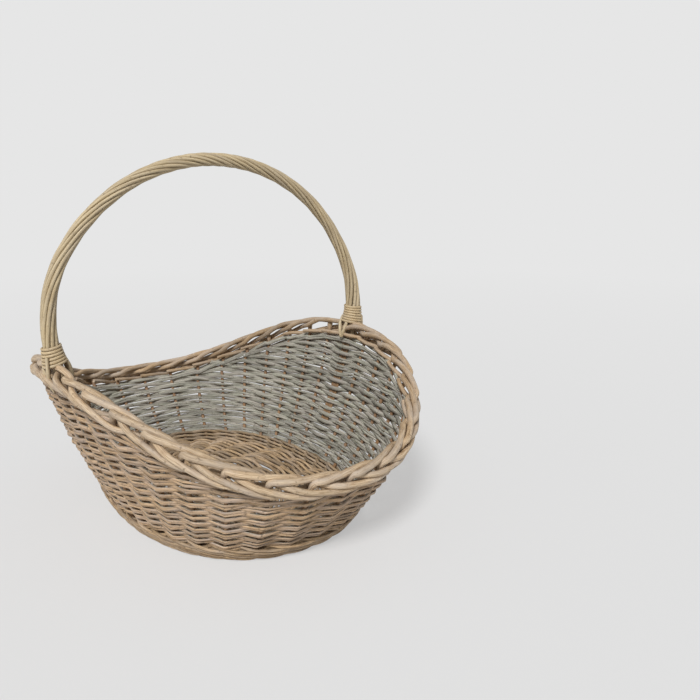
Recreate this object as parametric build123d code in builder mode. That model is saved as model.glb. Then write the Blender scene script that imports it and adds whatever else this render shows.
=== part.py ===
from build123d import *
import os
from bisect import bisect_right
from math import atan, cos, exp, pi, sin, sqrt

os.makedirs("parts", exist_ok=True)

# Trug garden basket: an oval willow basket with low lips at both ends,
# high sides, and a fixed bow handle across the middle.
# X runs from lip to lip, Y along the handle, Z up. Origin: middle of the foot.

# Shape of the basket, measured at the middle of the wall
rim_length = 496
rim_width = 380
foot_length = 339
foot_width = 241
lip_height = 102
side_height = 182
outline_power = 2.25
profile_power = 1.19
bulge_share = 0.08

# Rods and weave
stake_radius = 3.2
rod_gap = 0.6
fit_gap = 0.35
weave_half_thickness = 7
wale_half_thickness = 8.5
wale_height = 20
row_dip = 1.6
base_thickness = 12
stake_foot_height = 3
border_drop = 19

# Base sticks
cross_stick_radius = 4
long_stick_radius = 2.2
cross_stick_spacing = 48
stick_end_margin = 9

# Handle
handle_height = 397
haunch_share = 0.208
bow_radius = 3.4
bow_leg_length = 125
wrap_radius = 1.9
wrap_gap = 0.7
wrap_start = 15
tail_drop = 27
tail_half_spread = 4
tail_end_half_spread = 2.5
binding_radius = 1.25
binding_pitch = 3.4
binding_start = 16
binding_flare = 2.2

# Counts
station_count = 36
wall_steps = 2
brim_points = 17
wale_rows = 3
weave_rows = 12
cross_stick_count = 5
long_stick_count = 3
wrap_count = 8
wrap_steps = 40
wrap_turns = 3.75
binding_turns = 6
rod_sides = 6
stick_sides = 8
wrap_sides = 5
binding_sides = 4

half_rim_length = rim_length / 2
half_rim_width = rim_width / 2
half_foot_length = foot_length / 2
half_foot_width = foot_width / 2
lay = 2 * stake_radius + rod_gap


# The wall: half axes at a height, points on it, and the saddle-shaped rim
def lean(share):
    if share > 1:
        return 1 + (1 - 4 * bulge_share) * (share - 1)
    return share + 4 * bulge_share * share * (1 - share)


def half_axes(height, outward=0):
    half_length = half_foot_length + (half_rim_length - half_foot_length) * lean(height / lip_height)
    half_width = half_foot_width + (half_rim_width - half_foot_width) * lean(height / side_height)
    return half_length + outward, half_width + outward


def wall_point(angle, height, outward=0):
    half_length, half_width = half_axes(height, outward)
    size = (abs(cos(angle)) ** outline_power + abs(sin(angle)) ** outline_power) ** (1 / outline_power)
    return Vector(half_length * cos(angle) / size, half_width * sin(angle) / size, height)


def rim_height(x):
    rest = max(0, 1 - (abs(x) / half_rim_length) ** outline_power)
    return lip_height + (side_height - lip_height) * rest**profile_power


def rim_point(angle):
    height = side_height
    for _ in range(12):
        height = rim_height(wall_point(angle, height).X)
    return wall_point(angle, height)


# Stations are spaced evenly along the rim
rim_samples = 720
sample_angles = [2 * pi * i / rim_samples for i in range(rim_samples + 1)]
sample_points = [rim_point(angle) for angle in sample_angles]
rim_lengths = [0]
for here, there in zip(sample_points, sample_points[1:]):
    rim_lengths.append(rim_lengths[-1] + (there - here).length)


def station_angle(station):
    turns, share = divmod(station / station_count, 1)
    length = share * rim_lengths[-1]
    i = min(bisect_right(rim_lengths, length), rim_samples) - 1
    part = (length - rim_lengths[i]) / (rim_lengths[i + 1] - rim_lengths[i])
    return 2 * pi * (turns + (i + part) / rim_samples)


def rim_frame(station):
    angle = station_angle(station)
    step = pi / rim_samples
    centre = rim_point(angle)
    along = (rim_point(angle + step) - rim_point(angle - step)).normalized()
    rise = centre - wall_point(angle, centre.Z - rod_gap)
    upward = (rise - along * rise.dot(along)).normalized()
    return centre, along.cross(upward), upward


# The handle takes the place of the stake in the middle of each long side
handle_stations = [station_count // 4, 3 * station_count // 4]
stake_stations = [station for station in range(station_count) if station not in handle_stations]
swell_reach_share = 0.45
swell_share = (bow_radius + stake_radius + 2 * fit_gap) / (0.95 * lay) - 1


def swell(station):
    apart = min(abs(station % station_count - handle) for handle in handle_stations)
    return 1 + swell_share * exp(-((apart / swell_reach_share) ** 2))


def border_point(station, outward_share, upward_share):
    centre, outward, upward = rim_frame(station)
    return centre + outward * (outward_share * lay * swell(station)) + upward * (upward_share * lay)


# Each stake runs up inside the wall, bends over its neighbour and is woven
# along the border: over the top, down the inside, under, and out again.
# A row gives stations travelled, then outward and upward shares of a rod's lay.
border_route_shares = [
    (0.00, 0.00, -1.80),
    (0.00, 0.03, 0.25),
    (0.12, 0.14, 0.92),
    (0.60, -0.05, 1.12),
    (0.85, -0.78, 1.12),
    (1.05, -0.95, 1.00),
    (1.50, -1.00, 0.62),
    (2.10, -0.98, -0.32),
    (2.35, -0.10, -0.38),
    (2.60, 0.85, -0.35),
    (3.00, 1.02, -0.66),
    (3.50, 1.03, -1.25),
    (3.95, 1.00, -1.78),
]


def wall_rise(station, low):
    angle = station_angle(station)
    high = rim_point(angle).Z - border_drop
    return [wall_point(angle, low + (high - low) * i / wall_steps) for i in range(wall_steps)]


def stake_route(station):
    route = [border_point(station + along, out, up) for along, out, up in border_route_shares]
    return wall_rise(station, stake_foot_height) + route


def rod_section(path, radius, sides=rod_sides):
    with BuildSketch(Plane(origin=path @ 0, z_dir=path % 0)) as section:
        RegularPolygon(radius=radius, side_count=sides)
    return section.sketch


def rod(points, radius):
    with BuildPart() as solid:
        with BuildLine() as route:
            Polyline(*points)
        sweep(rod_section(route.line, radius), path=route.line, transition=Transition.RIGHT)
    return solid.part


def export(piece, name):
    piece.label = name
    export_step(piece, f"parts/{name}.step")


for number, station in enumerate(stake_stations, start=1):
    with BuildPart() as stake:
        with BuildLine() as stake_line:
            Polyline(*stake_route(station))
        sweep(rod_section(stake_line.line, stake_radius), path=stake_line.line, transition=Transition.RIGHT)
    export(stake.part, f"stake_{number:02d}")


# Woven shells: rings between two flared ovals, with rounded rows of rods and a
# channel for every stake
def row_levels(low, high, row_count, half_thickness):
    row_height = (high - low) / row_count
    levels = [(low, half_thickness - row_dip)]
    for row in range(row_count):
        levels.append((low + (row + 0.5) * row_height, half_thickness))
        levels.append((low + (row + 1) * row_height, half_thickness - row_dip))
    return levels


def oval_loft(levels):
    with BuildPart() as solid:
        for height, outward in levels:
            with BuildSketch(Plane.XY.offset(height)):
                with BuildLine():
                    outline = [wall_point(station_angle(i), height, outward) for i in range(station_count)]
                    Polyline([(point.X, point.Y) for point in outline], close=True)
                make_face()
        loft(ruled=True)
    return solid.part


def stake_channel(station):
    rise = wall_rise(station, stake_foot_height - fit_gap)
    return rod(rise + [border_point(station, 0, -1.8), border_point(station, 0, 0)], stake_radius + fit_gap)


# The bow: down each side inside the wall, with one arc over each haunch and
# one over the crown, all tangent to one another
half_width_rise = half_rim_width - half_foot_width
side_slope = half_width_rise / side_height * (1 - 4 * bulge_share)
side_bend = 8 * bulge_share * half_width_rise / side_height**2
leg_radius = (1 + side_slope**2) ** 1.5 / side_bend
side_lean = atan(side_slope)
leg_foot_lean = side_lean + bow_leg_length / leg_radius


def leg_direction(lean_angle):
    return Vector(0, sin(lean_angle), cos(lean_angle))


def leg_inward(lean_angle):
    return Vector(0, -cos(lean_angle), sin(lean_angle))


def far_side(point):
    return Vector(0, -point.Y, point.Z)


rim_seat = Vector(0, half_rim_width, side_height)
crown_top = Vector(0, 0, handle_height)
leg_foot = rim_seat + (leg_inward(side_lean) - leg_inward(leg_foot_lean)) * leg_radius
rim_direction = leg_direction(side_lean)
crown_direction = Vector(0, -1, 0)
span = crown_top - rim_seat
haunch_reach = haunch_share * span.dot(span) / (2 * span.dot(rim_direction))
crown_drop = span.dot(span) / 2 - haunch_reach * span.dot(rim_direction)
crown_reach = crown_drop / (span.dot(crown_direction) + haunch_reach * (1 - rim_direction.dot(crown_direction)))
haunch_corner = rim_seat + rim_direction * haunch_reach
crown_corner = crown_top - crown_direction * crown_reach
haunch_top = haunch_corner + (crown_corner - haunch_corner) * (haunch_reach / (haunch_reach + crown_reach))

with BuildLine() as bow_line:
    leg = TangentArc(leg_foot, rim_seat, tangent=leg_direction(leg_foot_lean))
    haunch = TangentArc(rim_seat, haunch_top, tangent=leg % 1)
    crown = TangentArc(haunch_top, far_side(haunch_top), tangent=haunch % 1)
    far_haunch = TangentArc(far_side(haunch_top), far_side(rim_seat), tangent=crown % 1)
    TangentArc(far_side(rim_seat), far_side(leg_foot), tangent=far_haunch % 1)


def bow_tube(radius):
    with BuildPart() as solid:
        sweep(rod_section(bow_line.line, radius), path=bow_line.line)
    return solid.part


with BuildPart() as handle_bow:
    add(bow_tube(bow_radius))
export(handle_bow.part, "handle_bow")

stake_channels = [stake_channel(station) for station in stake_stations]
bow_channel = bow_tube(bow_radius + fit_gap)

weave_levels = row_levels(wale_height, side_height, weave_rows, weave_half_thickness)
wall_outside = oval_loft(weave_levels)
wall_inside = oval_loft([(height, -half_thickness) for height, half_thickness in weave_levels])
with BuildPart() as side_weave:
    add(wall_outside)
    add(wall_inside, mode=Mode.SUBTRACT)
    with BuildSketch(Plane.XZ):
        with BuildLine():
            reach = [rim_length * (i / (brim_points - 1) - 0.5) for i in range(brim_points)]
            brim = Polyline([(x, rim_height(x) - border_drop) for x in reach])
            low = lip_height - border_drop
            high = 2 * side_height
            Polyline(brim @ 0, (-rim_length, low), (-rim_length, high), (rim_length, high), (rim_length, low), brim @ 1)
        make_face()
    extrude(amount=rim_width, both=True, mode=Mode.SUBTRACT)
    add(stake_channels + [bow_channel], mode=Mode.SUBTRACT)
export(side_weave.part, "side_weave")

# Rows of thicker rods turn the base up into the side
wale_outside = oval_loft(row_levels(0, wale_height, wale_rows, wale_half_thickness))
wale_inside = oval_loft([(height, -wale_half_thickness) for height in (0, base_thickness, wale_height)])
with BuildPart() as bottom_wale:
    add(wale_outside)
    add(wale_inside, mode=Mode.SUBTRACT)
    add(stake_channels, mode=Mode.SUBTRACT)
export(bottom_wale.part, "bottom_wale")


# The oval floor, with the cross of sticks it is woven on
floor_outside = oval_loft([(height, -wale_half_thickness - fit_gap) for height in (0, base_thickness)])
stick_height = base_thickness / 2
long_stick_spacing = 2 * long_stick_radius + rod_gap
slot_width = (long_stick_count - 1) * long_stick_spacing + 2 * (long_stick_radius + fit_gap)
slot_thickness = 2 * (long_stick_radius + fit_gap)
stick_end_offset = -wale_half_thickness - stick_end_margin
stick_area_length, stick_area_width = half_axes(0, stick_end_offset)


def cross_half_length(x):
    return stick_area_width * (1 - (abs(x) / stick_area_length) ** outline_power) ** (1 / outline_power)


cross_places = [(i - (cross_stick_count - 1) / 2) * cross_stick_spacing for i in range(cross_stick_count)]
long_places = [(i - (long_stick_count - 1) / 2) * long_stick_spacing for i in range(long_stick_count)]
with BuildPart() as base_weave:
    add(floor_outside)
    with BuildSketch(Plane.YZ):
        with Locations((0, stick_height)):
            Rectangle(slot_width, slot_thickness)
    extrude(amount=stick_area_length + fit_gap, both=True, mode=Mode.SUBTRACT)
    for x in cross_places:
        with BuildSketch(Plane.XZ):
            with Locations((x, stick_height)):
                RegularPolygon(radius=cross_stick_radius + fit_gap, side_count=stick_sides)
        extrude(amount=cross_half_length(x) + fit_gap, both=True, mode=Mode.SUBTRACT)
export(base_weave.part, "base_weave")

for number, x in enumerate(cross_places, start=1):
    with BuildPart() as cross_stick:
        with BuildSketch(Plane.XZ):
            with Locations((x, stick_height)):
                RegularPolygon(radius=cross_stick_radius, side_count=stick_sides)
        extrude(amount=cross_half_length(x), both=True)
        with BuildSketch(Plane.YZ.offset(x)):
            with Locations((0, stick_height)):
                Rectangle(slot_width, slot_thickness)
        extrude(amount=cross_stick_radius + fit_gap, both=True, mode=Mode.SUBTRACT)
    export(cross_stick.part, f"base_cross_stick_{number}")

for number, y in enumerate(long_places, start=1):
    with BuildPart() as long_stick:
        with BuildSketch(Plane.YZ):
            with Locations((y, stick_height)):
                RegularPolygon(radius=long_stick_radius, side_count=stick_sides)
        extrude(amount=stick_area_length, both=True)
    export(long_stick.part, f"base_long_stick_{number}")

# The wrap: rods twisted round the bow from foot to foot. At each foot four of
# them straddle the border and end against the weave, outside and inside.
side = Vector(1, 0, 0)
bow_path = bow_line.wire()
bow_length = bow_path.length
wrap_low = bow_leg_length + wrap_start
wrap_orbit = bow_radius + wrap_gap + wrap_radius
binding_height = (binding_turns + 0.5) * binding_pitch
binding_top = binding_start + binding_height
border_half_thickness = 1.03 * lay * (1 + swell_share) + stake_radius
wrap_ease_share = 0.3


def bow_frame(length):
    tangent = bow_path.tangent_at(length, position_mode=PositionMode.LENGTH)
    return bow_path.position_at(length, position_mode=PositionMode.LENGTH), tangent, tangent.cross(side)


def flare(length):
    above = min(length, bow_length - length) - bow_leg_length
    return binding_flare * max(0, min(1, (binding_top - above) / binding_height))


def wrap_angle(number, share):
    return 2 * pi * ((number + 0.5) / wrap_count - wrap_turns * share)


def is_tail(angle):
    return abs(cos(angle)) > cos(2 * pi / wrap_count)


def wrap_point(number, share):
    eased = share + wrap_ease_share * sin(2 * pi * share) / (2 * pi)
    length = wrap_low + (bow_length - 2 * wrap_low) * eased
    centre, _, outward = bow_frame(length)
    angle = wrap_angle(number, share)
    end_angle = wrap_angle(number, round(share))
    orbit = wrap_orbit + (flare(length) if is_tail(end_angle) else 0)
    return centre + (outward * cos(angle) + side * sin(angle)) * orbit


# A row gives the spread along the border, the distance out and the height
tail_shares = [
    (tail_end_half_spread, weave_half_thickness + wrap_radius + 2 * fit_gap, -tail_drop),
    ((tail_half_spread + tail_end_half_spread) / 2, border_half_thickness + wrap_radius + fit_gap, -2.5 * lay),
    (tail_half_spread, border_half_thickness + wrap_radius + fit_gap, 1.1 * lay),
]


def tail(number, share):
    angle = wrap_angle(number, share)
    if not is_tail(angle):
        return []
    centre, tangent, outward = bow_frame(bow_leg_length if share == 0 else bow_length - bow_leg_length)
    upward = tangent if share == 0 else -tangent
    spread_sign = 1 if sin(angle) > 0 else -1
    out_sign = 1 if cos(angle) > 0 else -1
    return [
        centre + side * (spread_sign * spread) + outward * (out_sign * out) + upward * rise
        for spread, out, rise in tail_shares
    ]


for number in range(wrap_count):
    with BuildPart() as handle_wrap:
        with BuildLine() as wrap_line:
            spiral = [wrap_point(number, i / wrap_steps) for i in range(wrap_steps + 1)]
            Polyline(*tail(number, 0), *spiral, *reversed(tail(number, 1)))
        wrap_section = rod_section(wrap_line.line, wrap_radius, wrap_sides)
        sweep(wrap_section, path=wrap_line.line, transition=Transition.RIGHT)
    export(handle_wrap.part, f"handle_wrap_rod_{number + 1}")


# The bindings: one unbroken length of cane wound round each foot of the handle
def binding_point(angle, foot):
    above = binding_start + binding_pitch * angle / (2 * pi)
    length = bow_leg_length + above
    centre, _, outward = bow_frame(length if foot > 0 else bow_length - length)
    radius = wrap_orbit + flare(length) + wrap_radius + 2 * fit_gap + binding_radius
    return centre + (outward * cos(angle) + side * sin(angle)) * radius


def binding_tangent(angle, foot):
    step = 0.001
    return (binding_point(angle + step, foot) - binding_point(angle - step, foot)).normalized()


def biarc(start, start_tangent, end, end_tangent):
    span = end - start
    lean_in = span.dot(start_tangent + end_tangent)
    spread = 2 * (1 - start_tangent.dot(end_tangent))
    reach = (sqrt(lean_in**2 + spread * span.dot(span)) - lean_in) / spread
    middle = (start + end + (start_tangent - end_tangent) * reach) / 2
    middle_tangent = (end - end_tangent * reach - start - start_tangent * reach).normalized()
    TangentArc(start, middle, tangent=start_tangent)
    TangentArc(middle, end, tangent=middle_tangent)


def binding_route(foot):
    angles = [i * pi for i in range(2 * binding_turns + 1)]
    points = [binding_point(angle, foot) for angle in angles]
    tangents = [binding_tangent(angle, foot) for angle in angles]
    with BuildLine() as route:
        Line(points[0] - tangents[0] * (2 * binding_radius), points[0])
        for i in range(len(points) - 1):
            biarc(points[i], tangents[i], points[i + 1], tangents[i + 1])
        Line(points[-1], points[-1] + tangents[-1] * (2 * binding_radius))
    return route.line


def least_turn_gap(foot):
    steps = 24
    track = [binding_point(2 * pi * i / steps, foot) for i in range(steps * binding_turns + 1)]
    spans = [(b - a).length for i, a in enumerate(track) for b in track[i + steps // 2:]]
    return min(spans) - 2 * binding_radius


def binding(foot):
    route = binding_route(foot)
    with BuildPart() as winding:
        with BuildSketch(Plane(origin=route @ 0, z_dir=route % 0)):
            RegularPolygon(radius=binding_radius, side_count=binding_sides)
        sweep(path=route, clean=False)
    return winding.part


export(Compound(children=[binding(1), binding(-1)]), "handle_bindings")
for foot in (1, -1):
    print("least gap between the turns of a binding:", round(least_turn_gap(foot), 2), "mm")
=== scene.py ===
import bpy
import math
import random
from bisect import bisect_right
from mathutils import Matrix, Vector


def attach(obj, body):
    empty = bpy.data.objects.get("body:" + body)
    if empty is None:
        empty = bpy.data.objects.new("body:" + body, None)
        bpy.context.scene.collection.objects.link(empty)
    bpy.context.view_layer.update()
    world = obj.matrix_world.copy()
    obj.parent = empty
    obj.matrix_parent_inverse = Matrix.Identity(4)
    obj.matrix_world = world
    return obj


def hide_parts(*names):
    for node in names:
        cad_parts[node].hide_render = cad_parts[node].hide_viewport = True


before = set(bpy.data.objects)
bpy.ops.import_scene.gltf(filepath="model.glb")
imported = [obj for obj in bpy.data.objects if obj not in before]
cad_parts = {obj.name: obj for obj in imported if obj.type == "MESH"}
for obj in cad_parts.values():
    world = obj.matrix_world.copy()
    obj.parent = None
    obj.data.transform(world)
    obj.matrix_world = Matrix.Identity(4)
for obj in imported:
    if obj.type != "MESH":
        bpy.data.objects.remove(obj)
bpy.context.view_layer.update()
print("frame loaded:", len(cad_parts), "nodes")

# Everything is in metres, X from lip to lip, Y along the handle, Z up.
basket = {
    "rimLength": 0.496,
    "rimWidth": 0.380,
    "footLength": 0.339,
    "footWidth": 0.241,
    "lipHeight": 0.102,
    "sideHeight": 0.182,
    "outlinePower": 2.25,
    "profilePower": 1.19,
    "bulge": 0.08,
    "stations": 36,
    "waleHeight": 0.020,
}
handleStations = [basket["stations"] // 4, 3 * basket["stations"] // 4]
worldUp = Vector((0, 0, 1))
xWay = Vector((1, 0, 0))


# Colour and node helpers
def hexColour(code):
    channels = [int(code[i:i + 2], 16) / 255 for i in (1, 3, 5)]
    return [c / 12.92 if c <= 0.04045 else ((c + 0.055) / 1.055) ** 2.4 for c in channels] + [1]


def addNode(tree, kind, links=None, **settings):
    node = tree.nodes.new(kind)
    for name, value in settings.items():
        setattr(node, name, value)
    for socket, value in (links or {}).items():
        target = node.inputs[socket]
        if isinstance(value, bpy.types.NodeSocket):
            tree.links.new(value, target)
        else:
            target.default_value = value
    return node


def mathNode(tree, operation, *values):
    return addNode(tree, "ShaderNodeMath", dict(enumerate(values)), operation=operation).outputs[0]


def vectorNode(tree, operation, *values):
    links = dict(enumerate(values))
    return addNode(tree, "ShaderNodeVectorMath", links, operation=operation).outputs[0]


def scaleVector(tree, vector, factor):
    links = {0: vector, "Scale": factor}
    return addNode(tree, "ShaderNodeVectorMath", links, operation="SCALE").outputs[0]


def readAttribute(tree, name, kind="FLOAT"):
    node = addNode(tree, "GeometryNodeInputNamedAttribute", {"Name": name}, data_type=kind)
    return node.outputs[0]


def storeAttribute(tree, geometry, name, value, kind="FLOAT"):
    links = {"Geometry": geometry, "Name": name, "Value": value}
    node = addNode(tree, "GeometryNodeStoreNamedAttribute", links, data_type=kind, domain="POINT")
    return node.outputs[0]


def noise(tree, place, scale, detail, roughness=0.5):
    links = {"Vector": place, "Scale": scale, "Detail": detail, "Roughness": roughness}
    return addNode(tree, "ShaderNodeTexNoise", links).outputs


def mapRange(tree, value, span, low, high):
    links = {0: value, 1: span[0], 2: span[1], 3: low, 4: high}
    return addNode(tree, "ShaderNodeMapRange", links).outputs[0]


def mixColours(tree, share, first, second):
    links = {0: share, 6: first, 7: second}
    return addNode(tree, "ShaderNodeMix", links, data_type="RGBA").outputs[2]


# The wall: half axes at a height, points on it, and the saddle-shaped rim
def lean(share):
    if share > 1:
        return 1 + (1 - 4 * basket["bulge"]) * (share - 1)
    return share + 4 * basket["bulge"] * share * (1 - share)


def wallPoint(angle, height, outward=0):
    b = basket
    longGrowth = (b["rimLength"] - b["footLength"]) / 2 * lean(height / b["lipHeight"])
    wideGrowth = (b["rimWidth"] - b["footWidth"]) / 2 * lean(height / b["sideHeight"])
    power = b["outlinePower"]
    size = (abs(math.cos(angle)) ** power + abs(math.sin(angle)) ** power) ** (1 / power)
    x = (b["footLength"] / 2 + longGrowth + outward) * math.cos(angle) / size
    y = (b["footWidth"] / 2 + wideGrowth + outward) * math.sin(angle) / size
    return Vector((x, y, height))


def rimHeight(x):
    b = basket
    rest = max(0, 1 - (abs(x) / (b["rimLength"] / 2)) ** b["outlinePower"])
    return b["lipHeight"] + (b["sideHeight"] - b["lipHeight"]) * rest ** b["profilePower"]


# On the rim, height and x depend on each other, so a few passes refine both
rimPasses = 12


def rimPoint(angle):
    height = basket["sideHeight"]
    for _ in range(rimPasses):
        height = rimHeight(wallPoint(angle, height).x)
    return wallPoint(angle, height)


# Stations share the rim's length evenly, counted from the lip at +X
rimSamples = 720
samplePoints = [rimPoint(2 * math.pi * i / rimSamples) for i in range(rimSamples + 1)]
rimLengths = [0]
for here, there in zip(samplePoints, samplePoints[1:]):
    rimLengths.append(rimLengths[-1] + (there - here).length)


def stationAngle(station):
    turns, share = divmod(station / basket["stations"], 1)
    length = share * rimLengths[-1]
    i = min(bisect_right(rimLengths, length), rimSamples) - 1
    part = (length - rimLengths[i]) / (rimLengths[i + 1] - rimLengths[i])
    return 2 * math.pi * (turns + (i + part) / rimSamples)


# Small steps to the points beside a place, which give its directions
angleStep = 0.004
heightStep = 0.001
rimDrop = 0.0006


def wallFrame(station, height):
    angle = stationAngle(station)
    along = wallPoint(angle + angleStep, height) - wallPoint(angle - angleStep, height)
    rise = wallPoint(angle, height + heightStep) - wallPoint(angle, height - heightStep)
    along.normalize()
    return wallPoint(angle, height), along, along.cross(rise.normalized()).normalized()


def rimFrame(station):
    angle, step = stationAngle(station), math.pi / rimSamples
    centre = rimPoint(angle)
    along = (rimPoint(angle + step) - rimPoint(angle - step)).normalized()
    rise = centre - wallPoint(angle, centre.z - rimDrop)
    upward = (rise - along * rise.dot(along)).normalized()
    return centre, along.cross(upward), upward


# How rods grow: the noise of their bends and lumps, and how far a rod's tone
# shifts its grain, so that no two look alike
growth = {
    "bendScale": 28.0,
    "bendDetail": 1.0,
    "lumpScale": 70.0,
    "lumpDetail": 2.0,
    "grainShift": 3.7,
}


# One Geometry Nodes tree turns guide lines into willow rods. Each guide point
# carries its rod's girth, tone, heartwood share and outward direction.
def makeRodTree():
    tree = bpy.data.node_groups.new("willowRods", "GeometryNodeTree")
    face = tree.interface
    face.new_socket("Geometry", in_out="INPUT", socket_type="NodeSocketGeometry")
    face.new_socket("Geometry", in_out="OUTPUT", socket_type="NodeSocketGeometry")
    inputs = {"Sides": "Int", "Material": "Material"}
    for name in ("Step", "Front", "Back", "Width", "Unevenness", "Waver"):
        inputs[name] = "Float"
    for name, kind in inputs.items():
        face.new_socket(name, in_out="INPUT", socket_type="NodeSocket" + kind)
    start = addNode(tree, "NodeGroupInput").outputs
    position = addNode(tree, "GeometryNodeInputPosition").outputs[0]

    # Smooth the guides and let each rod waver a little, as grown wood does
    lines = addNode(tree, "GeometryNodeMeshToCurve", {0: start["Geometry"]}).outputs[0]
    smooth = addNode(tree, "GeometryNodeCurveSplineType", {"Curve": lines},
                     spline_type="CATMULL_ROM").outputs[0]
    even = addNode(tree, "GeometryNodeResampleCurve",
                   {"Curve": smooth, "Length": start["Step"]}, mode="LENGTH").outputs[0]
    tone = readAttribute(tree, "tone")
    own = vectorNode(tree, "ADD", position, tone)
    bends = noise(tree, own, growth["bendScale"], growth["bendDetail"])["Color"]
    centred = vectorNode(tree, "SUBTRACT", bends, (0.5, 0.5, 0.5))
    shift = scaleVector(tree, centred, start["Waver"])
    moved = addNode(tree, "GeometryNodeSetPosition", {"Geometry": even, "Offset": shift})

    # The section keeps its face to the outward direction
    outward = readAttribute(tree, "outward", "FLOAT_VECTOR")
    tangent = addNode(tree, "GeometryNodeInputTangent").outputs[0]
    across = vectorNode(tree, "CROSS_PRODUCT", tangent, outward)
    facing = vectorNode(tree, "CROSS_PRODUCT", across, tangent)
    unit = vectorNode(tree, "NORMALIZE", facing)
    turned = addNode(tree, "GeometryNodeSetCurveNormal",
                     {"Curve": moved.outputs[0], "Normal": unit}, mode="FREE").outputs[0]

    # A ring, deepened in front and behind and widened, is the section
    ring = addNode(tree, "GeometryNodeCurvePrimitiveCircle",
                   {"Resolution": start["Sides"], "Radius": 1.0}).outputs[0]
    corner = addNode(tree, "ShaderNodeSeparateXYZ", {0: position}).outputs
    ahead = mathNode(tree, "MAXIMUM", corner[0], 0.0)
    front = mathNode(tree, "MULTIPLY", ahead, start["Front"])
    behind = mathNode(tree, "MINIMUM", corner[0], 0.0)
    deep = mathNode(tree, "MULTIPLY_ADD", behind, start["Back"], front)
    wide = mathNode(tree, "MULTIPLY", corner[1], start["Width"])
    shape = addNode(tree, "ShaderNodeCombineXYZ", {0: deep, 1: wide}).outputs[0]
    section = addNode(tree, "GeometryNodeSetPosition", {"Geometry": ring, "Position": shape})
    around = storeAttribute(tree, section.outputs[0], "sectionPlace", shape, "FLOAT_VECTOR")

    # Lumps change the girth along the rod
    girth = readAttribute(tree, "girth")
    lumps = noise(tree, own, growth["lumpScale"], growth["lumpDetail"])["Fac"]
    centredLumps = mathNode(tree, "SUBTRACT", lumps, 0.5)
    uneven = mathNode(tree, "MULTIPLY_ADD", centredLumps, start["Unevenness"], 1.0)
    size = mathNode(tree, "MULTIPLY", girth, uneven)
    length = addNode(tree, "GeometryNodeSplineParameter").outputs["Length"]
    marked = storeAttribute(tree, turned, "rodLength", length)
    sized = storeAttribute(tree, marked, "girth", size)
    rods = addNode(tree, "GeometryNodeCurveToMesh",
                   {"Curve": sized, "Profile Curve": around, "Scale": girth, "Fill Caps": True})

    # Grain runs in rod space: across the section and along the rod
    sectionPlace = readAttribute(tree, "sectionPlace", "FLOAT_VECTOR")
    rodLength = readAttribute(tree, "rodLength")
    ownLength = mathNode(tree, "MULTIPLY_ADD", tone, growth["grainShift"], rodLength)
    lengthWay = addNode(tree, "ShaderNodeCombineXYZ", {2: ownLength}).outputs[0]
    rodPlace = vectorNode(tree, "ADD", scaleVector(tree, sectionPlace, girth), lengthWay)
    placed = storeAttribute(tree, rods.outputs[0], "rodPlace", rodPlace, "FLOAT_VECTOR")
    # outerSide says how far each face turns outward; the materials give faces turned in their inner
    # colours, which on the round rods are painted shade
    normal = addNode(tree, "GeometryNodeInputNormal").outputs[0]
    outerSide = addNode(tree, "ShaderNodeVectorMath", {0: normal, 1: outward},
                        operation="DOT_PRODUCT").outputs["Value"]
    sided = storeAttribute(tree, placed, "outerSide", outerSide)
    shaded = addNode(tree, "GeometryNodeSetShadeSmooth", {"Geometry": sided}).outputs[0]
    real = addNode(tree, "GeometryNodeRealizeInstances", {"Geometry": shaded}).outputs[0]
    dressed = addNode(tree, "GeometryNodeSetMaterial",
                      {"Geometry": real, "Material": start["Material"]})
    addNode(tree, "NodeGroupOutput", {0: dressed.outputs[0]})
    return tree


rodTree = makeRodTree()
print("rod tree built")


# The guide line of one rod
class Rod:
    def __init__(self, tone):
        self.tone = tone
        self.points, self.girths, self.outwards, self.hearts = [], [], [], []

    def add(self, point, girth, outward, heart=0.0):
        self.points.append(point)
        self.girths.append(girth)
        self.outwards.append(outward)
        self.hearts.append(heart)


def makePiece(name, rods, settings, material, nodes):
    mesh = bpy.data.meshes.new(name + "Guides")
    points = [point for rod in rods for point in rod.points]
    edges, first = [], 0
    for rod in rods:
        edges += [(first + i, first + i + 1) for i in range(len(rod.points) - 1)]
        first += len(rod.points)
    mesh.from_pydata(points, edges, [])
    outwards = [part for rod in rods for way in rod.outwards for part in way]
    values = {
        "tone": ("FLOAT", "value", [rod.tone for rod in rods for _ in rod.points]),
        "girth": ("FLOAT", "value", [girth for rod in rods for girth in rod.girths]),
        "heart": ("FLOAT", "value", [heart for rod in rods for heart in rod.hearts]),
        "outward": ("FLOAT_VECTOR", "vector", outwards),
    }
    for label, (kind, field, data) in values.items():
        mesh.attributes.new(label, kind, "POINT").data.foreach_set(field, data)
    guides = bpy.data.objects.new(name + "Guides", mesh)
    bpy.context.scene.collection.objects.link(guides)
    modifier = guides.modifiers.new("rods", "NODES")
    modifier.node_group = rodTree
    for item in rodTree.interface.items_tree:
        if item.in_out == "INPUT" and item.name in settings:
            modifier[item.identifier] = settings[item.name]
        if item.in_out == "INPUT" and item.name == "Material":
            modifier[item.identifier] = material
    evaluated = guides.evaluated_get(bpy.context.evaluated_depsgraph_get())
    finished = bpy.data.meshes.new_from_object(evaluated)
    piece = bpy.data.objects.new(name, finished)
    bpy.context.scene.collection.objects.link(piece)
    bpy.data.objects.remove(guides)
    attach(piece, "root")
    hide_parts(*nodes)
    triangles = sum(len(face.vertices) - 2 for face in finished.polygons)
    print(name, "made:", len(rods), "rods,", triangles, "triangles")


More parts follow.
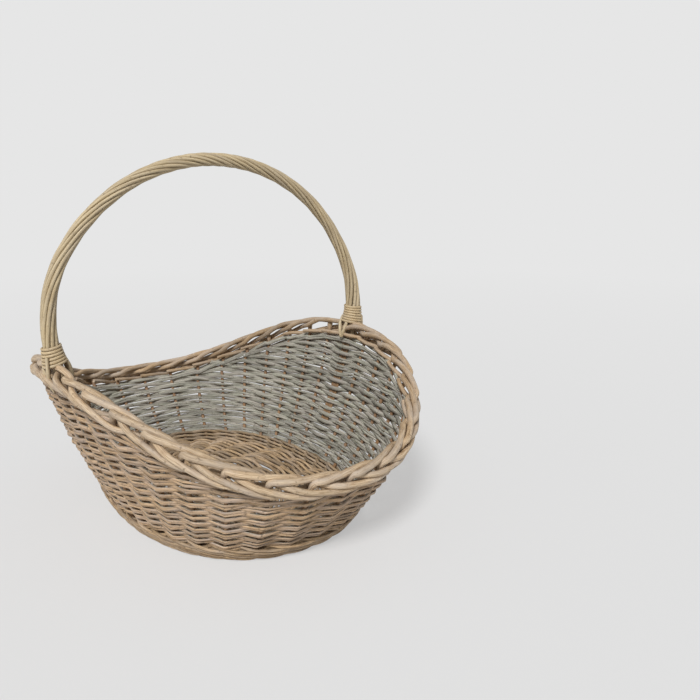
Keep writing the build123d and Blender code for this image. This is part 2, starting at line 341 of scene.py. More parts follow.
# Materials. What all the willow shares: how streaks, wash, dust and sheen vary
wood = {
    "grainDetail": 3.0,
    "grainRoughness": 0.6,
    "streakRange": (0.33, 0.67),
    "sideRange": (-0.35, 0.25),
    "washScale": (90, 90, 22),
    "washDetail": 4.0,
    "washRoughness": 0.65,
    "washRange": (0.42, 0.68),
    "heartColour": "#825B38",
    "heartAmount": 0.7,
    "spotScale": 260.0,
    "spotDetail": 3.0,
    "spotRange": (0.60, 0.75),
    "sheenRange": (0.2, 0.8),
    "roughRise": 0.1,
    "roughFall": 0.06,
    "bumpStrength": 0.5,
}


def willowMaterial(name, look):
    material = bpy.data.materials.new(name)
    material.use_nodes = True
    tree = material.node_tree
    shader = tree.nodes["Principled BSDF"]
    rodPlace, tone, heart, side = [
        addNode(tree, "ShaderNodeAttribute", attribute_name=label).outputs[output]
        for label, output in (("rodPlace", "Vector"), ("tone", "Fac"), ("heart", "Fac"),
                              ("outerSide", "Fac"))]
    place = addNode(tree, "ShaderNodeTexCoord").outputs["Object"]

    # Fine streaks along the rod. Faces turned away from the rod's outward direction take the inner
    # colours, and its flanks take part of them. On split willow and split cane this is the inner side
    # of the split. On the round rods it is painted shade on the sides that face in, down or against
    # their neighbours
    fineness = (1 / look["grainWidth"], 1 / look["grainWidth"], 1 / look["grainLength"])
    grainWay = addNode(tree, "ShaderNodeMapping", {"Vector": rodPlace, "Scale": fineness})
    grain = noise(tree, grainWay.outputs[0], 1.0, wood["grainDetail"], wood["grainRoughness"])["Fac"]
    streaks = mapRange(tree, grain, wood["streakRange"], 0.0, 1.0)
    outer = mixColours(tree, streaks, hexColour(look["dark"]), hexColour(look["light"]))
    inner = mixColours(tree, streaks, hexColour(look["innerAndShadeDark"]), hexColour(look["innerAndShadeLight"]))
    sideAndShadeShare = mapRange(tree, side, wood["sideRange"], 0.0, 1.0)
    colour = mixColours(tree, sideAndShadeShare, inner, outer)

    # A worn wash lies on the wood in patches a few centimetres long
    washWay = addNode(tree, "ShaderNodeMapping", {"Vector": rodPlace, "Scale": wood["washScale"]})
    patches = noise(tree, washWay.outputs[0], 1.0, wood["washDetail"], wood["washRoughness"])["Fac"]
    washShare = mapRange(tree, patches, wood["washRange"], 0.0, look["washAmount"])
    colour = mixColours(tree, washShare, colour, hexColour(look["wash"]))
    heartShare = mathNode(tree, "MULTIPLY", heart, wood["heartAmount"])
    colour = mixColours(tree, heartShare, colour, hexColour(wood["heartColour"]))

    # Each rod has its own tone, and dust darkens a few spots
    spots = noise(tree, place, wood["spotScale"], wood["spotDetail"])["Fac"]
    spotShare = mapRange(tree, spots, wood["spotRange"], 0.0, look["spotAmount"])
    colour = mixColours(tree, spotShare, colour, hexColour(look["spot"]))
    value = mapRange(tree, tone, (0.0, 1.0), 1 - look["toneRange"], 1 + look["toneRange"])
    toned = addNode(tree, "ShaderNodeHueSaturation", {"Color": colour, "Value": value})
    tree.links.new(toned.outputs[0], shader.inputs["Base Color"])
    rough = mapRange(tree, grain, wood["sheenRange"], look["roughness"] + wood["roughRise"],
                     look["roughness"] - wood["roughFall"])
    tree.links.new(rough, shader.inputs["Roughness"])
    bump = addNode(tree, "ShaderNodeBump", {"Strength": wood["bumpStrength"],
                                            "Distance": look["grainDepth"], "Height": grain})
    tree.links.new(bump.outputs[0], shader.inputs["Normal"])
    shader.inputs["Specular IOR Level"].default_value = look["specular"]
    return material


# Peeled willow, boiled to a warm tan and left matt under a thin grey wash. Its slightly darker inner
# colours are painted shade on the sides of the stakes and border rods that face into the basket
peeledWillow = willowMaterial("peeledWillow", {
    "dark": "#9C8062", "light": "#DCC6A6", "innerAndShadeDark": "#927656", "innerAndShadeLight": "#CCB290",
    "wash": "#B8AEA4", "washAmount": 0.6, "spot": "#5C4838", "spotAmount": 0.6,
    "grainWidth": 0.0006, "grainLength": 0.012, "grainDepth": 0.0002, "toneRange": 0.10,
    "roughness": 0.62, "specular": 0.35,
})
# Split willow for the sides: tan bark side out, grey weathered side in
splitWillow = willowMaterial("splitWillow", {
    "dark": "#826749", "light": "#D4B692", "innerAndShadeDark": "#64645A", "innerAndShadeLight": "#BDBBAB",
    "wash": "#A89D97", "washAmount": 0.65, "spot": "#4E4238", "spotAmount": 0.7,
    "grainWidth": 0.0006, "grainLength": 0.015, "grainDepth": 0.0002, "toneRange": 0.20,
    "roughness": 0.60, "specular": 0.35,
})
# Brown willow, dried in its bark, for the foot and the floor. Its darker inner colours are painted
# shade on the undersides of the floor rods and sticks and on the inner sides of the wale rods
brownWillow = willowMaterial("brownWillow", {
    "dark": "#74593D", "light": "#C9AE89", "innerAndShadeDark": "#6C5740", "innerAndShadeLight": "#B8A07E",
    "wash": "#A3988E", "washAmount": 0.55, "spot": "#4A3A2C", "spotAmount": 0.7,
    "grainWidth": 0.0006, "grainLength": 0.012, "grainDepth": 0.0002, "toneRange": 0.24,
    "roughness": 0.62, "specular": 0.35,
})
# Peeled willow polished by hands: paler and smoother than the rest. Its much darker inner colours are
# painted shade where the wraps and tails lie against the bow and each other, and on the underside of
# the bow
handleWillow = willowMaterial("handleWillow", {
    "dark": "#9C8764", "light": "#DAC8A4", "innerAndShadeDark": "#7D6A4E", "innerAndShadeLight": "#AC9874",
    "wash": "#B8AC9A", "washAmount": 0.45, "spot": "#6B5A44", "spotAmount": 0.5,
    "grainWidth": 0.0005, "grainLength": 0.02, "grainDepth": 0.00015, "toneRange": 0.09,
    "roughness": 0.52, "specular": 0.4,
})
# Split cane, flat, with a satin rind
splitCane = willowMaterial("splitCane", {
    "dark": "#A48C68", "light": "#DAC59E", "innerAndShadeDark": "#8A7452", "innerAndShadeLight": "#B39C76",
    "wash": "#B0A492", "washAmount": 0.4, "spot": "#6B5A44", "spotAmount": 0.5,
    "grainWidth": 0.0004, "grainLength": 0.01, "grainDepth": 0.0001, "toneRange": 0.08,
    "roughness": 0.50, "specular": 0.4,
})
print("materials made")

# Stakes and laid border: each stake rises inside the wall, bends over its
# neighbour and is woven along the border. The route counts stations travelled,
# then the places outward and upward in shares of a rod's lay.
border = {
    "lay": 0.0070,
    "stakeRadius": 0.0021,
    "rodRadius": 0.0034,
    "tipRadius": 0.0023,
    "footHeight": 0.003,
    "bendDrop": 0.022,
    "stakePoints": 6,
    "nudge": 0.06,
    "swellReach": 0.45,
    "swell": 0.15,
    "seed": 7,
    "Sides": 12,
    "Step": 0.0028,
    "Front": 1.0,
    "Back": 1.0,
    "Width": 1.0,
    "Unevenness": 0.26,
    "Waver": 0.0017,
    "route": [
        (0.00, 0.00, -1.80), (0.00, 0.03, 0.10), (0.04, 0.14, 0.84), (0.22, 0.32, 1.08),
        (0.72, -0.12, 1.16), (1.22, -0.64, 1.04), (1.62, -0.92, 0.64), (1.95, -0.86, 0.04),
        (2.25, -0.08, 0.04), (2.55, 0.64, 0.16), (2.85, 0.95, -0.02), (3.35, 1.05, -0.46),
        (3.80, 1.02, -0.84), (4.15, 0.80, -1.06), (4.45, 0.05, -1.14), (4.75, -0.72, -1.14),
        (5.15, -0.92, -1.06),
    ],
}


def borderPlace(station, outShare, upShare):
    apart = min(abs(station % basket["stations"] - handle) for handle in handleStations)
    room = 1 + border["swell"] * math.exp(-((apart / border["swellReach"]) ** 2))
    centre, outward, upward = rimFrame(station)
    place = centre + outward * (outShare * border["lay"] * room) + upward * (upShare * border["lay"])
    return place, outward


def makeBorder():
    chance = random.Random(border["seed"])
    rods = []
    # The rod before the far handle foot stays on top until it is past the foot
    later = [(along + (along > 1), outShare, upShare) for along, outShare, upShare in border["route"]]
    last = border["route"][-1][0]
    for station in range(basket["stations"]):
        if station in handleStations:
            continue
        rod = Rod(chance.random())
        top = rimPoint(stationAngle(station)).z - border["bendDrop"]
        spaces = border["stakePoints"] - 1
        for i in range(border["stakePoints"]):
            height = border["footHeight"] + (top - border["footHeight"]) * i / spaces
            centre, _, outward = wallFrame(station, height)
            rod.add(centre, border["stakeRadius"], outward, 1.0)
        route = later if station + 1 == handleStations[0] else border["route"]
        for along, outShare, upShare in route:
            nudge = chance.uniform(-border["nudge"], border["nudge"])
            place, outward = borderPlace(station + along, outShare, upShare + nudge)
            taper = (border["tipRadius"] - border["rodRadius"]) * (along / last) ** 2
            girth = border["rodRadius"] + taper
            inWall = along == 0 and upShare < 0
            rod.add(place, border["stakeRadius"] if inWall else girth, outward, 1.0 if inWall else 0.0)
        rods.append(rod)
    stakes = [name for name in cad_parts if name.startswith("stake")]
    makePiece("stakesAndBorder", rods, border, peeledWillow, stakes)


makeBorder()

# The handle's sizes; its legs pass through the side weave. A row of legTop gives
# a leg's spread, girth and tuck above the wall, and a row of tails gives the
# height above the wall, the places outward and across, and the girth.
handle = {
    "height": 0.397,
    "haunchShare": 0.208,
    "nearTuck": 0.0050,
    "farTuck": -0.0030,
    "tuckHeight": 0.197,
    "tuckReach": 0.105,
    "farFoot": 1.30,
    "farGirth": 1.20,
    "coreRadius": 0.0036,
    "coreTone": 0.3,
    "coreSteps": 60,
    "legSteps": 12,
    "haunchSteps": 12,
    "crownSteps": 24,
    "legLength": 0.125,
    "legRods": 4,
    "legRadius": 0.0028,
    "legSpacing": 2.05,
    "legInWall": 0.62,
    "legPoints": 12,
    "legRise": 0.014,
    "legHeart": 0.2,
    "legTop": [(0.80, 0.85, 0), (1.00, 1.00, 0.0025), (0.70, 1.00, 0.0025)],
    "wraps": 9,
    "wrapSteps": 110,
    "girthRange": (0.95, 1.06),
    "wrapRadius": 0.00185,
    "footWrapRadius": 0.0021,
    "orbit": 0.0055,
    "footOrbit": 0.0064,
    "footReach": 0.16,
    "footPower": 1.5,
    "turns": 2.75,
    "ease": 0.5,
    "wrapStart": 0.0105,
    "outerTails": [
        (0.020, 0.0082, 0.0092, 0.8), (0.007, 0.0108, 0.0094, 0.95), (0.000, 0.0116, 0.0080, 1.0),
        (-0.010, 0.0118, 0.0046, 0.85), (-0.018, 0.0104, 0.0030, 0.4),
    ],
    "innerTails": [
        (0.018, 0.0085, 0.0045, 0.8), (0.007, 0.0114, 0.0042, 1.1), (0.000, 0.0120, 0.0034, 1.15),
        (-0.006, 0.0120, 0.0020, 1.05), (-0.0125, 0.0112, 0.0004, 0.5),
    ],
    "tailTone": 1.0,
    "tailGap": 0.0064,
    "tailMeet": -0.018,
    "tailOpen": 0.025,
    "seed": 9,
    "Sides": 12,
    "Step": 0.0035,
    "Front": 1.0,
    "Back": 1.0,
    "Width": 1.0,
    "Unevenness": 0.12,
    "Waver": 0.0008,
}

# Side weave: split rods over one stake and under the next. The lower and upper
# rows go right round, and short rows between them raise the long sides.
sideWeave = {
    "rodRadius": 0.0025,
    "girthRange": (0.94, 1.05),
    "tipGirth": 0.8,
    "pairShare": 0.72,
    "pairRadius": 0.00150,
    "pairSpread": 0.00122,
    "stakeSpread": 1.40,
    "wander": 0.0009,
    "rowPitch": 0.0044,
    "levelRows": 15,
    "rimRows": 2,
    "borderDrop": 0.0088,
    "bendReach": 0.09,
    "bendDepth": 0.84,
    "legHalfWidth": 0.0074,
    "endReach": 0.45,
    "endLift": 0.0014,
    "shortReach": 0.95,
    "shortGirth": 0.75,
    "shortSpread": 0.5,
    "seed": 11,
    "Sides": 6,
    "Step": 0.0040,
    "Front": 0.75,
    "Back": 0.55,
    "Width": 1.15,
    "Unevenness": 0.34,
    "Waver": 0.0020,
}


def weaveHeights(station):
    low = basket["waleHeight"]
    high = rimPoint(stationAngle(station)).z - sideWeave["borderDrop"]
    ringRows = sideWeave["levelRows"] + sideWeave["rimRows"]
    count = max(ringRows, round((high - low) / sideWeave["rowPitch"]))
    return [low + (i + 0.5) * (high - low) / count for i in range(count)]


weaveStacks = [weaveHeights(station) for station in range(basket["stations"])]
stationWidth = rimLengths[-1] / basket["stations"]


# A rod bends round a stake, or wider round the handle's legs
def addCrossing(rod, station, row, girth, rise, wander):
    stack = weaveStacks[station % basket["stations"]]
    row = row % len(stack)
    side = -1 if (station + row) % 2 == 0 else 1
    thickness = girth * (sideWeave["Front"] if side < 0 else sideWeave["Back"])
    reach = border["stakeRadius"] + thickness
    span = sideWeave["bendReach"]
    if station % basket["stations"] in handleStations:
        reach = handle["legRadius"] * handle["legInWall"] + thickness
        span = sideWeave["legHalfWidth"] / stationWidth
    depth = 1 if span > sideWeave["bendReach"] else sideWeave["bendDepth"]
    for place, share, swell in ((station - span, depth, 1), (station, 1, sideWeave["stakeSpread"]),
                                (station + span, depth, 1)):
        centre, _, outward = wallFrame(place, stack[row] + wander + rise * swell)
        rod.add(centre + outward * side * reach * share, girth, outward)


# A short row's ends run down between its neighbours to the next stake. A long
# row's ends stop about half way to it, on the inside.
def addEnd(rod, row, station, way, radius, girth, rise, short):
    here = weaveStacks[station % basket["stations"]]
    height = here[row % len(here)]
    if short:
        there = weaveStacks[(station + way) % basket["stations"]]
        last = len(there) - sideWeave["rimRows"]
        low = (there[last - 1] + there[last]) / 2
        height = height + (low - height) * sideWeave["shortReach"] + rise * sideWeave["shortSpread"]
        reach, inset, size = sideWeave["shortReach"], 0, sideWeave["shortGirth"]
    else:
        height = height + rise + way * sideWeave["endLift"]
        reach, inset, size = sideWeave["endReach"], radius, sideWeave["tipGirth"]
    centre, _, outward = wallFrame(station + way * reach, height)
    rod.add(centre - outward * inset, girth * size, outward)


# One run of the weave: a single rod, or a pair with one above the other
def addWeaver(rods, chance, row, begin, finish, short=False):
    if chance.random() < sideWeave["pairShare"]:
        strands = [(sideWeave["pairRadius"], spread * sideWeave["pairSpread"]) for spread in (1, -1)]
    else:
        strands = [(sideWeave["rodRadius"], 0)]
    for radius, rise in strands:
        rod = Rod(chance.random())
        girth = radius * chance.uniform(*sideWeave["girthRange"])
        addEnd(rod, row, begin, -1, radius, girth, rise, short)
        for station in range(begin, finish + 1):
            addCrossing(rod, station, row, girth, rise, chance.uniform(-1, 1) * sideWeave["wander"])
        addEnd(rod, row, finish, 1, radius, girth, rise, short)
        rods.append(rod)


def makeSideWeave():
    chance = random.Random(sideWeave["seed"])
    count = basket["stations"]
    ringRows = sideWeave["levelRows"] + sideWeave["rimRows"]
    rods = []
    for row in range(ringRows):
        index = row if row < sideWeave["levelRows"] else row - ringRows
        starts = sorted(chance.sample(range(row % 2, count, 2), 2))
        addWeaver(rods, chance, index, starts[0], starts[1])
        addWeaver(rods, chance, index, starts[1], starts[0] + count)
    for middle in handleStations:
        reach = range(middle - count // 4 + 1, middle + count // 4)
        for short in range(max(len(stack) for stack in weaveStacks) - ringRows):
            span = [s for s in reach if len(weaveStacks[s % count]) - ringRows > short]
            if span:
                addWeaver(rods, chance, sideWeave["levelRows"] + short, span[0], span[-1], short=True)
    makePiece("sideRods", rods, sideWeave, splitWillow, ["side_weave"])


makeSideWeave()

# Bottom wale: five rows of closely packed rods, each over two stakes and under one
wale = {
    "rodRadius": 0.0017,
    "rows": 5,
    "strands": 3,
    "rise": 0.0016,
    "fallShare": 0.6,
    "floorGap": 0.0005,
    "seed": 3,
    "Sides": 10,
    "Step": 0.0035,
    "Front": 1.0,
    "Back": 1.0,
    "Width": 1.0,
    "Unevenness": 0.18,
    "Waver": 0.0012,
}


def makeWale():
    chance = random.Random(wale["seed"])
    count = basket["stations"]
    pitch = basket["waleHeight"] / wale["rows"]
    rods = []
    for row in range(wale["rows"]):
        for strand in range(wale["strands"]):
            rod = Rod(chance.random())
            start = chance.randrange(count)
            for station in range(start, start + count + 1):
                phase = (station - strand + row) % wale["strands"]
                side = (-1, 1, 1)[phase]
                lift = (0, wale["rise"], -wale["rise"] * wale["fallShare"])[phase]
                centre, _, outward = wallFrame(station, (row + 0.5) * pitch + lift)
                place = centre + outward * side * (border["stakeRadius"] + wale["rodRadius"])
                place.z = max(place.z, wale["floorGap"] + wale["rodRadius"])
                rod.add(place, wale["rodRadius"], outward)
            rods.append(rod)
    makePiece("waleRods", rods, wale, brownWillow, ["bottom_wale"])


makeWale()

# The floor: rings of rods over and under a cross of sticks. At both ends the
# sticks fan out from the last cross stick.
floorWeave = {
    "rodRadius": 0.00205,
    "girthRange": (0.9, 1.08),
    "stickRadius": 0.0026,
    "height": 0.0086,
    "ringPitch": 0.0038,
    "ringSamples": 360,
    "edge": 0.0075,
    "core": 0.0085,
    "crossSpacing": 0.048,
    "crossSticks": 5,
    "longSticks": 3,
    "longSpacing": 2.1,
    "longLift": 0.0005,
    "fanSticks": 6,
    "fanSpread": 62,
    "fanEdge": 0.9,
    "fanStep": 0.001,
    "fanShares": (0.05, 0.35, 0.7, 1.0),
    "fanGirth": 0.85,
    "parallel": 1e-12,
    "seed": 5,
    "Sides": 8,
    "Step": 0.0038,
    "Front": 1.0,
    "Back": 1.0,
    "Width": 1.0,
    "Unevenness": 0.22,
    "Waver": 0.0018,
}


def floorPoint(angle, inset):
    return wallPoint(angle, floorWeave["height"], -inset)


floorLength = floorPoint(0, 0).x
floorWidth = floorPoint(math.pi / 2, 0).y
crossReach = (floorWeave["crossSticks"] - 1) / 2 * floorWeave["crossSpacing"]
crossPlaces = [i * floorWeave["crossSpacing"] - crossReach for i in range(floorWeave["crossSticks"])]


def fanLines():
    f = floorWeave
    lines = []
    for end in (1, -1):
        for i in range(f["fanSticks"]):
            turn = math.radians(-f["fanSpread"] + 2 * f["fanSpread"] * i / (f["fanSticks"] - 1))
            hub = Vector((end * crossReach, 0, 0))
            way = Vector((end * math.cos(turn), math.sin(turn), 0))
            lines.append((hub, hub + way * floorLength))
    return lines


# Where a ring crosses the lines of the sticks, in order round the floor
def ringCrossings(inset, lines):
    count = floorWeave["ringSamples"]
    samples = [floorPoint(2 * math.pi * i / count, inset) for i in range(count + 1)]
    crossings = []
    for i, (here, there) in enumerate(zip(samples, samples[1:])):
        for hub, tip in lines:
            way, step = tip - hub, there - here
            turn = way.x * step.y - way.y * step.x
            if abs(turn) < floorWeave["parallel"]:
                continue
            alongLine = ((here.x - hub.x) * step.y - (here.y - hub.y) * step.x) / turn
            alongRing = ((here.x - hub.x) * way.y - (here.y - hub.y) * way.x) / turn
            if 0 < alongLine < 1 and 0 <= alongRing < 1:
                crossings.append((i + alongRing, here + step * alongRing))
    crossings.sort(key=lambda crossing: crossing[0])
    return [place for _, place in crossings]


def makeFloorRings(chance, lines):
    f = floorWeave
    rods = []
    for ring in range(int((floorWidth - f["edge"] - f["core"]) / f["ringPitch"])):
        crossings = ringCrossings(f["edge"] + ring * f["ringPitch"], lines)
        rod = Rod(chance.random())
        girth = f["rodRadius"] * chance.uniform(*f["girthRange"])
        first = chance.randrange(len(crossings))
        turned = crossings[first:] + crossings[:first] + crossings[first:first + 1]
        for i, place in enumerate(turned):
            side = 1 if (i + first + ring) % 2 == 0 else -1
            if i == len(turned) - 1:
                side = -side
            rod.add(place + worldUp * side * (f["stickRadius"] + girth), girth, worldUp)
        rods.append(rod)
    return rods


# Below 1 inside the floor's oval, 1 on its edge
def ovalShare(x, y):
    power = basket["outlinePower"]
    return (abs(x) / floorLength) ** power + (abs(y) / floorWidth) ** power


def makeSticks(chance, fans):
    f = floorWeave
    power = basket["outlinePower"]
    rods = []
    for x in crossPlaces:
        end = floorWidth * (1 - (abs(x) / floorLength) ** power) ** (1 / power) - f["edge"]
        stick = Rod(chance.random())
        for y in (-end, -end / 2, 0, end / 2, end):
            stick.add(Vector((x, y, f["height"])), f["stickRadius"], worldUp)
        rods.append(stick)
    for i in range(f["longSticks"]):
        y = (i - (f["longSticks"] - 1) / 2) * f["longSpacing"] * f["stickRadius"]
        end = floorLength - f["edge"]
        stick = Rod(chance.random())
        for x in (-end, -floorLength / 2, 0, floorLength / 2, end):
            stick.add(Vector((x, y, f["height"] + f["longLift"])), f["stickRadius"], worldUp)
        rods.append(stick)
    for hub, tip in fans:
        way = (tip - hub).normalized()
        stick = Rod(chance.random())
        length = 0.0
        while ovalShare(hub.x + way.x * length, way.y * length) < f["fanEdge"]:
            length += f["fanStep"]
        for share in f["fanShares"]:
            place = hub + way * length * share
            girth = f["stickRadius"] * f["fanGirth"]
            stick.add(Vector((place.x, place.y, f["height"])), girth, worldUp)
        rods.append(stick)
    return rods


def makeFloor():
    chance = random.Random(floorWeave["seed"])
    crosses = []
    for x in crossPlaces:
        for end in (floorWidth, -floorWidth):
            crosses.append((Vector((x, 0, 0)), Vector((x, end, 0))))
    fans = fanLines()
    axis = [(Vector((0, 0, 0)), Vector((end * crossReach, 0, 0))) for end in (1, -1)]
    rods = makeFloorRings(chance, crosses + fans + axis) + makeSticks(chance, fans)
    nodes = [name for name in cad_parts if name.startswith("base")]
    makePiece("floorRods", rods, floorWeave, brownWillow, nodes)


makeFloor()


# The bow: on each side a leg in the wall, an arc over the haunch and an arc to
# the crown, all tangent. Near the rim its feet are tucked in or out a little.
def makeBowLine():
    rise = (basket["rimWidth"] - basket["footWidth"]) / 2
    slope = rise / basket["sideHeight"] * (1 - 4 * basket["bulge"])
    bend = 8 * basket["bulge"] * rise / basket["sideHeight"] ** 2
    legArc = (1 + slope ** 2) ** 1.5 / bend
    leanAngle = math.atan(slope)
    seat = Vector((0, basket["rimWidth"] / 2, basket["sideHeight"]))
    top = Vector((0, 0, handle["height"]))
    up = Vector((0, math.sin(leanAngle), math.cos(leanAngle)))
    over = Vector((0, -1, 0))
    span = top - seat
    haunchReach = handle["haunchShare"] * span.dot(span) / (2 * span.dot(up))
    drop = span.dot(span) / 2 - haunchReach * span.dot(up)
    crownReach = drop / (span.dot(over) + haunchReach * (1 - up.dot(over)))
    haunchCorner, crownCorner = seat + up * haunchReach, top - over * crownReach
    joint = haunchCorner + (crownCorner - haunchCorner) * (haunchReach / (haunchReach + crownReach))

    def arc(begin, way, finish, steps):
        chord = finish - begin
        inward = Vector((0, -way.z, way.y))
        radius = chord.dot(chord) / (2 * chord.dot(inward))
        centre = begin + inward * radius
        turn = 2 * math.asin(chord.length / (2 * radius))
        turns = [turn * i / steps for i in range(1, steps + 1)]
        return [centre - inward * radius * math.cos(t) + way * radius * math.sin(t) for t in turns]

    line = [seat] + arc(seat, up, joint, handle["haunchSteps"])
    middle = (joint - haunchCorner).normalized()
    line += arc(joint, middle, top, handle["crownSteps"])
    leg = []
    start = Vector((0, -math.cos(leanAngle), math.sin(leanAngle)))
    for i in range(handle["legSteps"], 0, -1):
        turn = leanAngle + handle["legLength"] * i / handle["legSteps"] / legArc
        here = Vector((0, -math.cos(turn), math.sin(turn)))
        leg.append(seat + (start - here) * legArc)
    half = leg + line
    bow = half + [Vector((0, -p.y, p.z)) for p in half[-2::-1]]
    for p in bow:
        nearRim = max(0, 1 - ((p.z - handle["tuckHeight"]) / handle["tuckReach"]) ** 2) ** 2
        p.y += (handle["nearTuck"] if p.y < 0 else -handle["farTuck"]) * nearRim
    return bow


bowLine = makeBowLine()
bowLengths = [0]
for here, there in zip(bowLine, bowLine[1:]):
    bowLengths.append(bowLengths[-1] + (there - here).length)
bowLength = bowLengths[-1]


def bowFrame(length):
    i = min(max(bisect_right(bowLengths, length), 1), len(bowLine) - 1) - 1
    part = (length - bowLengths[i]) / (bowLengths[i + 1] - bowLengths[i])
    before = (bowLine[min(i + 1, len(bowLine) - 1)] - bowLine[max(i - 1, 0)]).normalized()
    after = (bowLine[min(i + 2, len(bowLine) - 1)] - bowLine[i]).normalized()
    tangent = before.lerp(after, part).normalized()
    return bowLine[i].lerp(bowLine[i + 1], part), tangent, tangent.cross(xWay)


# Lengths run along the bow from its end inside the side weave, at either foot
def footFrame(length, foot):
    return bowFrame(length if foot > 0 else bowLength - length)


binding = {
    "radius": 0.00125,
    "pitch": 0.0034,
    "turns": 5.5,
    "farTurns": 6.8,
    "turnSteps": 24,
    "start": 0.0095,
    "reach": 0.0091,
    "flare": 0.0031,
    "flareLimit": 1.15,
    "flarePower": 1.3,
    "sideFlare": 0.55,
    "outFlare": 0.45,
    "Sides": 10,
    "Step": 0.0013,
    "Front": 1.0,
    "Back": 0.6,
    "Width": 1.3,
    "Unevenness": 0.2,
    "Waver": 0.0009,
}


# The foot widens downward, and more outward than along the border
def footFlare(above, angle):
    top = binding["start"] + binding["turns"] * binding["pitch"]
    share = max(0, min(binding["flareLimit"], (top - above) / (top - binding["start"])))
    spread = binding["sideFlare"] + binding["outFlare"] * abs(math.cos(angle))
    return binding["flare"] * share ** binding["flarePower"] * spread


def wrapOrbit(above, far):
    nearFoot = max(0, 1 - above / handle["footReach"]) ** handle["footPower"]
    orbit = handle["orbit"] + (handle["footOrbit"] - handle["orbit"]) * nearFoot
    return orbit * (1 + (handle["farFoot"] - 1) * nearFoot * far), nearFoot


# The core runs from rim to rim, and a few legs side by side go down each wall
def makeBow(chance):
    h = handle
    core = Rod(h["coreTone"])
    for i in range(h["coreSteps"] + 1):
        length = h["legLength"] + (bowLength - 2 * h["legLength"]) * i / h["coreSteps"]
        centre, _, outward = bowFrame(length)
        core.add(centre, h["coreRadius"], outward)
    rods = [core]
    inWall = h["legPoints"] - len(h["legTop"])
    for foot in (1, -1):
        for i in range(h["legRods"]):
            leg = Rod(chance.random())
            offset = (i - (h["legRods"] - 1) / 2) * h["legSpacing"] * h["legRadius"]
            for j in range(h["legPoints"]):
                share = j / (h["legPoints"] - 1)
                centre, _, outward = footFrame(h["legLength"] * share + h["legRise"] * share, foot)
                spread, size, tuck, heart = h["legInWall"], h["legInWall"], 0, 1.0
                if j >= inWall:
                    spread, size, tuck = h["legTop"][j - inWall]
                    heart = h["legHeart"]
                place = centre + xWay * offset * spread - outward * tuck
                leg.add(place, h["legRadius"] * size, outward, heart)
            rods.append(leg)
    makePiece("handleBow", rods, handle, handleWillow, ["handle_bow"])


# Two tails straddle the border on each side of each foot and meet below it
def makeTails():
    h = handle
    tails = []
    for foot in (1, -1):
        for side in (1, -1):
            for spread in (1, -1):
                tail = Rod(h["tailTone"])
                for above, out, across, size in h["outerTails"] if side > 0 else h["innerTails"]:
                    centre, _, outward = footFrame(h["legLength"] + above, foot)
                    gap = h["tailGap"] * max(0, above - h["tailMeet"]) / h["tailOpen"]
                    across += min(gap, h["tailGap"]) * (spread - 1)
                    place = centre + outward * side * out + xWay * across
                    tail.add(place, h["footWrapRadius"] * size, outward * side)
                tails.append(tail)
    return tails


def makeWraps(chance):
    h = handle
    rods = []
    low = h["legLength"] + h["wrapStart"]
    for number in range(h["wraps"]):
        rod = Rod(chance.random())
        girth = chance.uniform(*h["girthRange"])
        for i in range(h["wrapSteps"] + 1):
            share = i / h["wrapSteps"]
            eased = share + h["ease"] * math.sin(2 * math.pi * share) / (2 * math.pi)
            length = low + (bowLength - 2 * low) * eased
            above = min(length, bowLength - length) - h["legLength"]
            centre, _, outward = bowFrame(length)
            angle = 2 * math.pi * ((number + 0.5) / h["wraps"] - h["turns"] * share)
            way = outward * math.cos(angle) + xWay * math.sin(angle)
            far = length < bowLength / 2
            orbit, nearFoot = wrapOrbit(above, far)
            radius = h["wrapRadius"] + (h["footWrapRadius"] - h["wrapRadius"]) * nearFoot
            if far:
                radius *= 1 + (h["farGirth"] - 1) * nearFoot
            rod.add(centre + way * (orbit + footFlare(above, angle)), radius * girth, way)
        rods.append(rod)
    nodes = [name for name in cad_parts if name.startswith("handle_wrap")]
    makePiece("handleWraps", rods + makeTails(), handle, handleWillow, nodes)


def makeBindings(chance):
    coils = []
    for foot in (1, -1):
        coil = Rod(chance.random())
        turns = binding["farTurns"] if foot > 0 else binding["turns"]
        fullness = (1 + handle["farFoot"]) / 2 if foot > 0 else 1
        steps = int(binding["turnSteps"] * turns)
        for i in range(steps + 1):
            above = binding["start"] + turns * binding["pitch"] * i / steps
            centre, _, outward = footFrame(handle["legLength"] + above, foot)
            angle = 2 * math.pi * turns * i / steps
            way = outward * math.cos(angle) + xWay * math.sin(angle)
            reach = (binding["reach"] + footFlare(above, angle)) * fullness
            coil.add(centre + way * reach, binding["radius"], way)
        coils.append(coil)
    makePiece("handleBindings", coils, binding, splitCane, ["handle_bindings"])


handleChance = random.Random(handle["seed"])
makeBow(handleChance)
makeWraps(handleChance)
makeBindings(handleChance)

# Studio: pale seamless paper, soft light from above and behind the camera, and the
# camera at the photograph's angle
studio = {
    "paperColour": "#E4E4E4",
    "paperRoughness": 0.95,
    "paperSpecular": 0.1,
    "paperSize": 40,
    "seenColour": "#E6E6E6",
    "seenShare": 0.55,
    "fadeStart": 0.5,
    "fadeEnd": 2.4,
    "camera": (0.752, -0.390, 0.374),
    "aim": (-0.7702, 0.5968, -0.2268),
    "lens": 37.42,
    "clipStart": 0.01,
    "skyStrength": 0.32,
    "sunStrength": 2.66,
    "sunSpread": 14,
    "sunFrom": (0.67, -0.75, 0.95),
}


def seenRays(tree):
    path = addNode(tree, "ShaderNodeLightPath").outputs
    seen = mathNode(tree, "ADD", path["Is Camera Ray"], path["Is Glossy Ray"])
    links = {0: seen, 1: path["Is Transmission Ray"]}
    return addNode(tree, "ShaderNodeMath", links, operation="ADD", use_clamp=True).outputs[0]


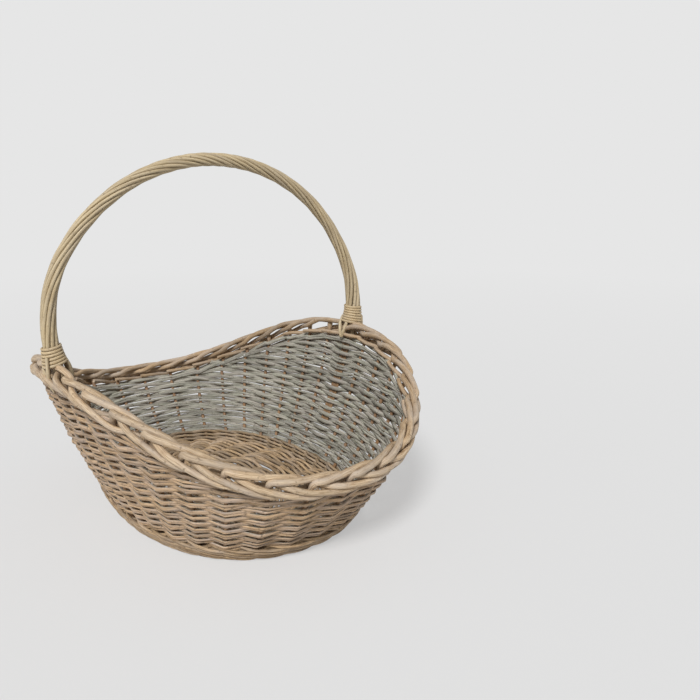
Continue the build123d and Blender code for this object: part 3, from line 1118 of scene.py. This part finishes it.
# Pale paper that keeps a light shadow and melts into the backdrop further off
def makePaper():
    paper = bpy.data.materials.new("seamlessPaper")
    paper.use_nodes = True
    tree = paper.node_tree
    shader = tree.nodes["Principled BSDF"]
    shader.inputs["Base Color"].default_value = hexColour(studio["paperColour"])
    shader.inputs["Roughness"].default_value = studio["paperRoughness"]
    shader.inputs["Specular IOR Level"].default_value = studio["paperSpecular"]
    place = addNode(tree, "ShaderNodeTexCoord").outputs["Object"]
    away = addNode(tree, "ShaderNodeVectorMath", {0: place}, operation="LENGTH").outputs["Value"]
    span = (studio["fadeStart"], studio["fadeEnd"])
    fade = mapRange(tree, away, span, studio["seenShare"], 1.0)
    share = mathNode(tree, "MULTIPLY", fade, seenRays(tree))
    plain = addNode(tree, "ShaderNodeEmission",
                    {"Color": hexColour(studio["seenColour"]), "Strength": 1.0})
    mixed = addNode(tree, "ShaderNodeMixShader",
                    {0: share, 1: shader.outputs[0], 2: plain.outputs[0]})
    tree.links.new(mixed.outputs[0], tree.nodes["Material Output"].inputs["Surface"])
    mesh = bpy.data.meshes.new("floor")
    size = studio["paperSize"]
    corners = [(-size, -size, 0), (size, -size, 0), (size, size, 0), (-size, size, 0)]
    mesh.from_pydata(corners, [], [(0, 1, 2, 3)])
    mesh.materials.append(paper)
    ground = bpy.data.objects.new("floor", mesh)
    bpy.context.scene.collection.objects.link(ground)


def makeCamera():
    camera = bpy.data.objects.new("camera", bpy.data.cameras.new("camera"))
    bpy.context.scene.collection.objects.link(camera)
    camera.location = studio["camera"]
    camera.rotation_euler = Vector(studio["aim"]).to_track_quat("-Z", "Y").to_euler()
    camera.data.lens = studio["lens"]
    camera.data.clip_start = studio["clipStart"]
    bpy.context.scene.camera = camera


# The camera sees the backdrop's colour, and the object is lit by plain white
def makeLight():
    world = bpy.data.worlds.new("studio")
    bpy.context.scene.world = world
    world.use_nodes = True
    tree = world.node_tree
    light = tree.nodes["Background"]
    light.inputs["Color"].default_value = (1, 1, 1, 1)
    light.inputs["Strength"].default_value = studio["skyStrength"]
    backdrop = addNode(tree, "ShaderNodeBackground",
                       {"Color": hexColour(studio["seenColour"]), "Strength": 1.0})
    mixed = addNode(tree, "ShaderNodeMixShader",
                    {0: seenRays(tree), 1: light.outputs[0], 2: backdrop.outputs[0]})
    tree.links.new(mixed.outputs[0], tree.nodes["World Output"].inputs["Surface"])

    sun = bpy.data.objects.new("softSun", bpy.data.lights.new("softSun", "SUN"))
    bpy.context.scene.collection.objects.link(sun)
    sun.data.energy = studio["sunStrength"]
    sun.data.angle = math.radians(studio["sunSpread"])
    sun.rotation_euler = Vector(studio["sunFrom"]).to_track_quat("Z", "Y").to_euler()


makePaper()
makeCamera()
makeLight()
bpy.context.scene.view_settings.view_transform = "Standard"
print("studio made")
